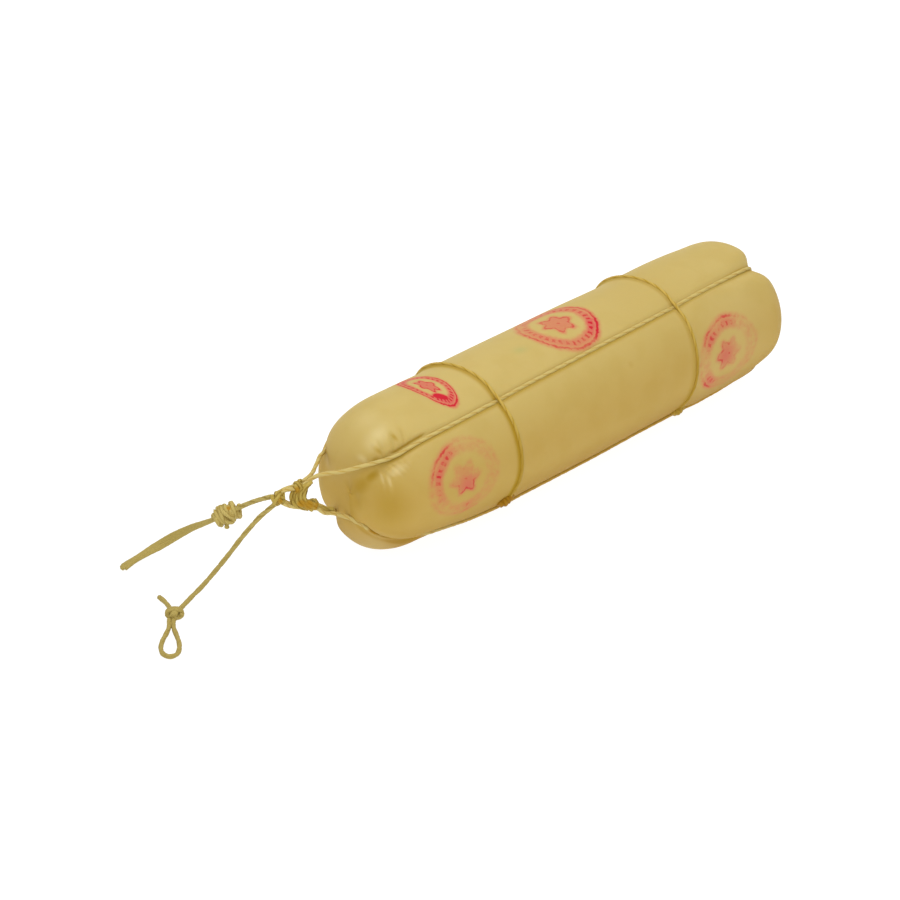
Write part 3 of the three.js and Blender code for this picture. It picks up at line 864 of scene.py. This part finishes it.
def stampFields(x, angle):
    # for each point its place in the nearest stamp, 1 at its rim, and how much dye is there and
    # how much has pooled
    middle = float(along(body["radius"], 0))
    place, tone, nearest = np.zeros((*x.shape, 3)), np.zeros((*x.shape, 3)), 0 * x + 9
    for k, stamp in enumerate(stampInk["stamps"]):
        u = (x - stamp["x"]) / stamp["size"][0]
        v = np.radians(turnFrom(stamp["angle"], angle)) * middle / stamp["size"][1]
        reach = np.hypot(u, v)
        amounts = []
        for start, changes in ((stamp["ink"], stamp["changes"]), (0, stamp["pools"])):
            amount = start + 0 * x
            for atX, atAngle, width, change in changes:
                away = np.hypot(x - atX, np.radians(turnFrom(atAngle, angle)) * middle)
                amount += change * bell(away, width)
            amounts.append(amount * (1 - smoothStep(*stampInk["edge"], reach)))
        here = reach < nearest
        place[here] = np.stack([u, v, 0 * u + 7 * k], axis=-1)[here]  # a stretch of noise of its own
        tone[here] = np.stack([*amounts, 0 * u], axis=-1)[here]
        nearest[here] = reach[here]
    return place, tone


def paintedLightFields(x, r, angle):
    # for each point how much painted shade (below zero, painted highlight), how much greener and how much
    # shinier the casing is there; the painted shade lies in folds and pleat valleys and on one side of each
    # string and hoop
    runs = paintedShadeAndShine
    turned = np.abs(turnFrom(0, angle))
    # painted shade in the folds and in the valleys of the pleats
    gathered = [along(runs["folds"], foldPress(x, r, angle)),
                along(runs["pleats"], -pleatHeight(x, r, angle))]
    above, aboveWidth = runs["aboveString"]
    below, belowWidth, most = runs["belowString"]
    # painted shade below and above each string, and in the soft valley beside the front strings
    for name in strings:
        side = besideString(x, r, angle, name)
        tied, strength = (along(pairs, x) for pairs in runs["beside"].get(name, runs["beside"]["other"]))
        gathered += [tied * most * bell(side - below, belowWidth),
                     tied * strength * bell(side - above, aboveWidth)]
        if name.startswith("front"):
            strength, width = runs["valley"]
            only = along(runs["valleyEdge"], side) if name == "frontLow" else 1
            gathered.append(along(strength, x) * bell(side, width) * only)
    # painted shade on one side of each hoop
    place, width = runs["hoop"]
    for hoop in hoops.values():
        share = hoop["wax"] * along(runs["hoopTop"], turned)
        gathered.append(share * bell(besideHoop(hoop, x, r, angle) - place, width))
    amber, green = np.maximum.reduce(gathered), 0 * x
    # blots add painted shade, below zero painted highlights, and a green tinge
    for length, middle, halfLength, halfWidth, more, greener in waxedCasing["blots"]:
        aside = np.radians(turnFrom(middle, angle)) * r
        here = bell(np.hypot((lengthAt(x) - length) / halfLength, aside / halfWidth), 1)
        amber = np.maximum(amber, more * here) if more > 0 else amber * (1 - here) + more * here
        green = green + greener * here
    # painted shade low on the front of the tied end
    strength, middle, width = runs["front"]
    low = along(strength, x) * bell(turnFrom(middle, angle), width)
    amber = np.where(amber < 0, amber, np.maximum(amber, low))
    strength, middle, fade = runs["shiny"]
    polish = along(strength, x) * along(fade, np.abs(angle - middle)) - along(runs["rubbed"], turned)
    return np.stack([amber, green, polish], axis=-1)


def stampCoats(add):
    look = stampInk
    place, amounts = (add("Attribute", (), attribute_name=name)["Vector"]
                      for name in ("stampPlace", "stampTone"))
    tone, pool, _ = add("SeparateXYZ", (amounts,))
    smeared = place
    for scale, size in look["smears"]:
        noise = add("TexNoise", {"Vector": place, "Scale": scale, "Detail": 1})["Color"]
        smeared = add("VectorMath", (noise, (size,) * 3, smeared), "MULTIPLY_ADD")[0]
    mean = -sum(size for _, size in look["smears"]) / 2
    flat = add("VectorMath", (smeared, (1, 1, 0), (mean, mean, 0)), "MULTIPLY_ADD")[0]
    reach = add("VectorMath", (flat,), "LENGTH")["Value"]
    u, v, _ = add("SeparateXYZ", (flat,))
    angle = add("Math", (v, u), "ARCTAN2")[0]
    middle, swing, count = look["petals"]
    petal, bars = (add("Math", add("Math", (angle, times), "MULTIPLY"), "COSINE")[0]
                   for times in (count, look["bars"]))
    petals = add("Math", (petal, swing, middle), "MULTIPLY_ADD")[0]
    band, bandWidth = look["band"]
    # how far from the ring, from the rosette's edge and from the middle of the band of bars
    *gaps, offBand = (add("Math", add("Math", (reach, target), "SUBTRACT"), "ABSOLUTE")[0]
                      for target in (1, petals, band))
    line = reach  # how far from the nearest line, or from the dot in the middle
    for gap in gaps:
        line = add("Math", (line, gap), "MINIMUM")[0]
    inside = add("Math", (petals, reach), "SUBTRACT")[0]
    patches = add("TexNoise", {"Vector": place, **look["patches"]})[0]
    wet = add("Math", (tone, 0.55, patches), "MULTIPLY_ADD")[0]
    full = add("Math", (patches, 0.5, pool), "MULTIPLY_ADD")[0]
    half = look["line"]
    bar, inBand, onLine, printed, strong, solid, nearLine, nearBand, nearPool, filled, soaked = (
        add("MapRange", values, **eased)[0] for values in (
            (bars, -0.3, 0.5), (offBand, bandWidth, 0.6 * bandWidth), (line, 1.6 * half, 0.5 * half),
            (wet, 0.66, 1), (tone, 0.05, 1.1), (full, 0.65, 0.95), (line, 0.16, 0),
            (offBand, 0.22, 0.06), (pool, 0.05, 0.6), (inside, -0.1, 0.05), (wet, 0.4, 0.85)))
    coats = []
    for shade, share, steps in (
            ("run", nearLine, (("MAXIMUM", nearBand), ("MAXIMUM", nearPool), ("MAXIMUM", filled),
                               ("MULTIPLY", tone), ("MULTIPLY", soaked))),
            ("thick", bar, (("MULTIPLY", inBand), ("MAXIMUM", onLine), ("MULTIPLY", printed),
                            ("MULTIPLY", strong), ("MAXIMUM", solid)))):
        for operation, other in steps:  # each takes what the one before it gave
            share = add("Math", (share, other), operation)[0]
        coats.append((share, look[shade]))
    return coats


def makeWaxMaterial():
    look = waxedCasing
    material, add = startMaterial("waxed cheese casing")
    place = add("TexCoord", ())["Object"]
    height = add("SeparateXYZ", (place,))[2]
    # how much painted shade or highlight, how green and how shiny each point is
    amber, green, shiny = add("SeparateXYZ", (add("Attribute", (), attribute_name="paintedLightTintShine")["Vector"],))
    patches, grain = (add("TexNoise", {"Vector": place, "Scale": 1 / (look[size] * metre), "Detail": 3})[0]
                      for size in ("mottle", "grain"))
    # by height the casing is painted darker and more amber lower down: painted shade
    honey, low, patch = (add("MapRange", values, **eased)[0] for values in (
        (height, *look["honeyFrom"]), (height, *look["amberFrom"]), (patches, *look["mottled"])))
    # the faint patches are its own tone; the amber field adds painted shade in grooves and folds
    patchesAndPaintedShade = add("Math", (patch, amber), "MAXIMUM")[0]
    # where the field is below zero it lays painted highlights
    paintedHighlight = add("Math", (amber, -1), "MULTIPLY")[0]
    colour = layColours(add, look["pale"], [
        (honey, look["honey"]), (low, look["amber"]), (patchesAndPaintedShade, look["patchesAndPaintedShade"]), (paintedHighlight, look["paintedHighlightColour"]),
        (green, look["green"]), *stampCoats(add)])
    bump = add("Bump", {"Strength": 1, "Distance": look["bump"] * metre, "Height": grain})[0]
    rough = add("Math", (shiny, look["polish"], look["roughness"]), "MULTIPLY_ADD")[0]
    add("OutputMaterial", add("BsdfPrincipled", {
        "Base Color": colour, "Roughness": rough, "Normal": bump,
        "IOR": look["ior"], "Specular IOR Level": look["level"],
        "Subsurface Weight": 0.25, "Subsurface Scale": look["depth"] * metre,
        "Subsurface Radius": (1, 0.7, 0.35)}))
    return material


def makeCheese():
    # columns run beside the strings and crowd towards them; rows crowd at the hoops and the ends
    t = np.arange(body["columns"]) / body["columns"]
    share = t - body["crowdColumns"] * np.sin(2 * math.pi * t)
    lengths = np.linspace(0, outlineLength, 2000)
    crowding = 1 + along(body["crowdNear"], lengths) + along(body["crowdFar"], lengths - outlineLength)
    more, reach = body["crowdHoops"]
    for hoop in hoops.values():
        crowding += more * bell(lengths - lengthAt(hoop["x"]), reach)
    total = np.r_[0, np.cumsum((crowding[1:] + crowding[:-1]) / 2)]
    rows = np.interp(np.linspace(0, total[-1], body["rows"] + 1), total, lengths)[1:-1]
    rowX, rowRadius = stationAt(rows)[:2]
    starts = [along(pairs, rowX)[:, None] for pairs in strings.values()]
    angle = np.hstack([start + (after - start) % 360 * share
                       for start, after in zip(starts, starts[1:] + starts[:1])])
    length = np.repeat(rows[:, None], angle.shape[1], axis=1)
    for hoop in hoops.values():  # rows near a hoop lean with it
        fade = np.maximum(0, 1 - np.abs(rowX - hoop["x"]) / body["hoopFade"])[:, None]
        length = length + hoopShift(hoop, rowRadius[:, None], angle) * fade
    station = stationAt(length)
    x, r = station[:2]
    off = standOut(x, angle) + pleatHeight(x, r, angle) - stringPress(x, r, angle) - hoopPress(x, r, angle)
    place, tone = stampFields(x, angle)
    fields = {}
    # stamps, and painted shade, tint and shine for the casing
    for key, values in (("stampPlace", place), ("stampTone", tone), ("paintedLightTintShine", paintedLightFields(x, r, angle))):
        values = values.reshape(-1, 3)
        fields[key] = np.concatenate([values[:1], values, values[-1:]])
    grid = placeOff(station, angle, off)
    grid[..., 2] = np.maximum(grid[..., 2], -axisHeight)
    poles = []
    for pole in (stationAt(0), stationAt(outlineLength)):
        poles.append(placeOff(pole, 0, standOut(pole[0], 0) - stringPress(pole[0], 0, 0))[None])
    points = np.vstack([poles[0], grid.reshape(-1, 3), poles[1]])
    places = 1 + np.arange(angle.size).reshape(angle.shape)
    pairs = np.stack([places, np.roll(places, -1, axis=1)], axis=-1)
    faces = np.concatenate([pairs[:-1, :, :1], pairs[1:], pairs[:-1, :, 1:]], axis=-1).reshape(-1, 4).tolist()
    faces += [[0, *pair] for pair in pairs[0].tolist()]
    faces += [[a, len(points) - 1, b] for a, b in pairs[-1].tolist()]
    piece = addMesh("casing", toScene(points), faces, makeWaxMaterial(), attributes=fields)
    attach(piece, "root")
    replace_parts(piece, "cheese")


makeCheese()
print("cheese shaped")


# the binding

stringEnds = {  # from the tied end on through the gather and into its knot
    "frontTop": [(-243.1, -1.8, 25.9), (-249.6, 3.6, 25.6), (-254.8, 7.3, 25), (-260.5, 9.7, 23.1),
                 (-266.4, 10.6, 21.2), (-272.1, 11.2, 20.1), (-277, 12, 20.5), (-282.5, 13.7, 21.3),
                 (-287.6, 14.6, 21)],
    "backTop": [(-223.2, 38.5, 17.5), (-230.4, 33.4, 17.9), (-237.7, 28.5, 18.3), (-251.8, 18.8, 20.3),
                (-262.7, 14.9, 21.2), (-270, 14.3, 20.6), (-276.9, 14.2, 21.4), (-283.3, 15, 21.9),
                (-288, 16, 20.5)],
    "frontLow": [(-236.1, 1.5, -15.6), (-239.1, 4, -14.2), (-244, 5, -11.2), (-248.8, 5.6, -9.4),
                 (-253.3, 5.2, -6.9), (-258.4, 6, -1.9), (-266.2, 8, 2.6), (-274.9, 9.6, 5),
                 (-281.7, 11.1, 8), (-286.5, 12.3, 11.4), (-289.5, 13.2, 14)],
    "backLow": [(-241.7, 9.5, -11.2), (-246, 9.7, -8), (-252.5, 11, -3), (-260.8, 12, 2),
                (-269.2, 12.7, 6.5), (-276.4, 12.2, 8.4), (-281.6, 13.2, 9.8), (-287, 14, 14.5)],
}
liftOff = {"frontTop": -219, "backTop": -214, "frontLow": -231.4, "backLow": -226}  # off the tied end
overPole = (5.5, 13)  # height and width of loop b's rise over loop a
hoopRise = (0.8, 5)  # height and width of a hoop's rise over a string
dippedLook = {"size": 0.9, "offset": 0.3}  # it is pulled thinner along the cheese than in the tails
hoopLook = {"size": 0.74, "offset": 0.3}

gather = {  # what holds the strings together in front of the tied end
    "strands": [
        [(-262.8, 7.4, 22.3), (-268.3, 7.1, 20.4), (-271.9, 6.8, 16.9), (-272.3, 5.6, 12.4),
         (-269.6, 3.2, 8.8), (-263.8, 1.6, 5.1)],
        [(-265.7, 9.7, 21), (-271.9, 8.8, 19.6), (-275, 8, 16.1), (-274.9, 6.1, 11.6),
         (-271.7, 3.2, 8), (-265.5, 1.2, 3.6)],
        [(-268.7, 12.1, 19.6), (-274.6, 10.9, 18.2), (-277.4, 9.7, 14.7), (-277.1, 7.6, 10.3),
         (-273.6, 4.5, 7), (-267.9, 2.4, 2.6)],
        [(-272.1, 13.9, 19.1), (-276.2, 13.5, 17.1), (-279.1, 12.4, 13.6), (-278.7, 10.3, 9.1),
         (-275.6, 7.8, 6.2), (-270.3, 4.6, 3.4)],
    ],
    "cores": [  # what is wound under them, with its thickness
        (1.7, [(-264, 12, 19.5), (-269, 10.8, 13.5), (-270.5, 10.6, 8)]),
        (1.7, [(-272, 12, 19.5), (-275, 10.8, 13.5), (-274, 10.8, 9)]),
        (1.5, [(-258, 8.5, 2), (-264, 8.6, 4.5), (-272, 9, 7.5)]),
        (1.6, [(-285.7, 14.4, 17), (-289.7, 15.6, 16.6), (-292.5, 17, 16)]),
        (1.1, [(-242, 7.5, -9.6), (-249, 8, -6.6), (-256, 8.6, -2.6), (-262, 9, 1)]),
    ],
    "wraps": [  # with the middle and direction of each coil's axis
        {"at": (-272.3, 12, 20.8), "axis": (-1, 0.15, -0.15), "turns": 1.9, "radius": 2.9, "pitch": 3.7},
        {"at": (-262, 6.5, 3.4), "axis": (-0.9, -0.1, 0.4), "turns": 1.4, "radius": 3, "pitch": 4.5},
        {"at": (-289.6, 15.4, 16.7), "axis": (-0.62, 0.68, -0.35), "turns": 1.9, "radius": 4, "pitch": 3.8},
        {"at": (-290.2, 15.2, 16.7), "axis": (-0.4, 0.75, 0.45), "turns": 1.1, "radius": 4.5, "pitch": 3},
    ],
    "strandSize": 0.95,
    "start": 0.3,  # of a coil, in turns
}
hitch = {"turns": 2.8, "radius": 2.5, "pitch": 2.7, "off": -0.3, "axis": (1, 0, 0.25),
         "core": [(-6, 0, 0), (0, 0.3, 0), (6, 0, 0)], "coreSize": 1.6}


def makeStrings():
    for seed, (node, names) in enumerate(loops.items()):
        routes = []
        for name in names:
            lengths = np.linspace(float(lengthAt(liftOff[name])), outlineLength, 250)[:-1]
            station = stationAt(lengths)
            x, r = station[:2]
            angle = along(strings[name], x)
            over = overPole[0] * bell(outlineLength - lengths, overPole[1]) * (node == "string_loop_b")
            off = along(stringLie[name], x) + over + standOut(x, angle) - stringPress(x, r, angle)
            routes.append(np.vstack([stringEnds[name][::-1], placeOff(station, angle, off)]))
        route = np.vstack([routes[0], routes[1][::-1]])
        piece = addTwine(node.replace("string_", "long_"), [run(route, 20 + seed, **dippedLook)],
                         dippedMaterial)
        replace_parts(piece, node)


def makeHoops():
    angles = np.arange(0, 360, 1.5)
    for seed, (node, hoop) in enumerate(hoops.items()):
        r = float(along(body["radius"], hoop["x"]))
        station = stationAt(lengthAt(hoop["x"]) + hoopShift(hoop, r, angles))
        ring = (*station[:2], angles)
        off = hoopLie + hoopRise[0] * bell(nearestString(*ring, strings), hoopRise[1])
        off = off + standOut(station[0], angles) - hoopPress(*ring) - dentPress(*ring)
        depth, middle, reach = press["buried"]
        route = placeOff(station, angles, off - depth * bell(angles - middle, reach))
        piece = addTwine(node.replace("hoop_", "band_"), [run(route, 30 + seed, closed=True, **hoopLook)],
                         soakedMaterial)
        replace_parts(piece, node)
        x, angle, size = hoop["hitch"]
        station = stationAt(lengthAt(x))
        at = placeOff(station, angle, standOut(station[0], angle) + hitch["off"])
        knot = coil(hitch["turns"], hitch["radius"] * size, hitch["pitch"] * size, taper=0.5)
        core = np.array(hitch["core"]) * (size, 1, 1)
        runs = [run(aimed(route, at, hitch["axis"]), 34 + seed, size=thick * size)
                for route, thick in ((knot, 1), (core, hitch["coreSize"]))]
        material = tiedMaterial if node == "hoop_near" else soakedMaterial
        addTwine(node.replace("hoop_", "hitch_"), runs, material)


def makeGather():
    routes = [(gather["strandSize"], strand) for strand in gather["strands"]]
    for wrap in gather["wraps"]:
        turns = coil(wrap["turns"], wrap["radius"], wrap["pitch"], start=gather["start"])
        routes.append((gather["strandSize"], aimed(turns, wrap["at"], wrap["axis"])))
    runs = [run(route, 60 + k, size=size) for k, (size, route) in enumerate(routes + gather["cores"])]
    piece = addTwine("gathering", runs, gatheredMaterial)
    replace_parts(piece, "gather_bundle", "gather_knot")


makeStrings()
makeHoops()
makeGather()
print("binding wound")


# floor and light

studio = {
    "world": 0.55,
    "floor": 9,  # metres in radius
    "floorColour": "#6E6E6E",
    "floorGlow": 0.95,
    "softboxes": {
        "key": {"size": 2.2, "power": 24, "at": (0.3, 0.3, 2)},
        "fill": {"size": 1.1, "power": 12.5, "at": (-1.25, -1.0, 1.45)},
    },
}


def makeStudio():
    scene = bpy.context.scene
    scene.view_settings.view_transform = "Standard"
    scene.world = bpy.data.worlds.new("studio")
    scene.world.use_nodes = True
    sky = scene.world.node_tree.nodes["Background"].inputs
    sky["Color"].default_value = (1, 1, 1, 1)
    sky["Strength"].default_value = studio["world"]
    corners = [(studio["floor"] * math.cos(a), studio["floor"] * math.sin(a), 0)
               for a in np.linspace(0, 2 * math.pi, 65)[:-1]]
    material, add = startMaterial("matt white sweep")
    add("OutputMaterial", add("BsdfPrincipled", {
        "Base Color": fromHex(studio["floorColour"]), "Roughness": 0.9,
        "Emission Color": (1, 1, 1, 1), "Emission Strength": studio["floorGlow"]}))
    floor = addMesh("floor", corners, [tuple(range(len(corners)))], material)
    for name, box in studio["softboxes"].items():
        light = bpy.data.lights.new(name, "AREA")
        light.shape, light.size, light.energy = "SQUARE", box["size"], box["power"]
        lamp = bpy.data.objects.new(name, light)
        lamp.location = box["at"]
        lamp.rotation_euler = (-lamp.location).to_track_quat("-Z", "Y").to_euler()
        scene.collection.objects.link(lamp)


makeStudio()
print("studio lit")
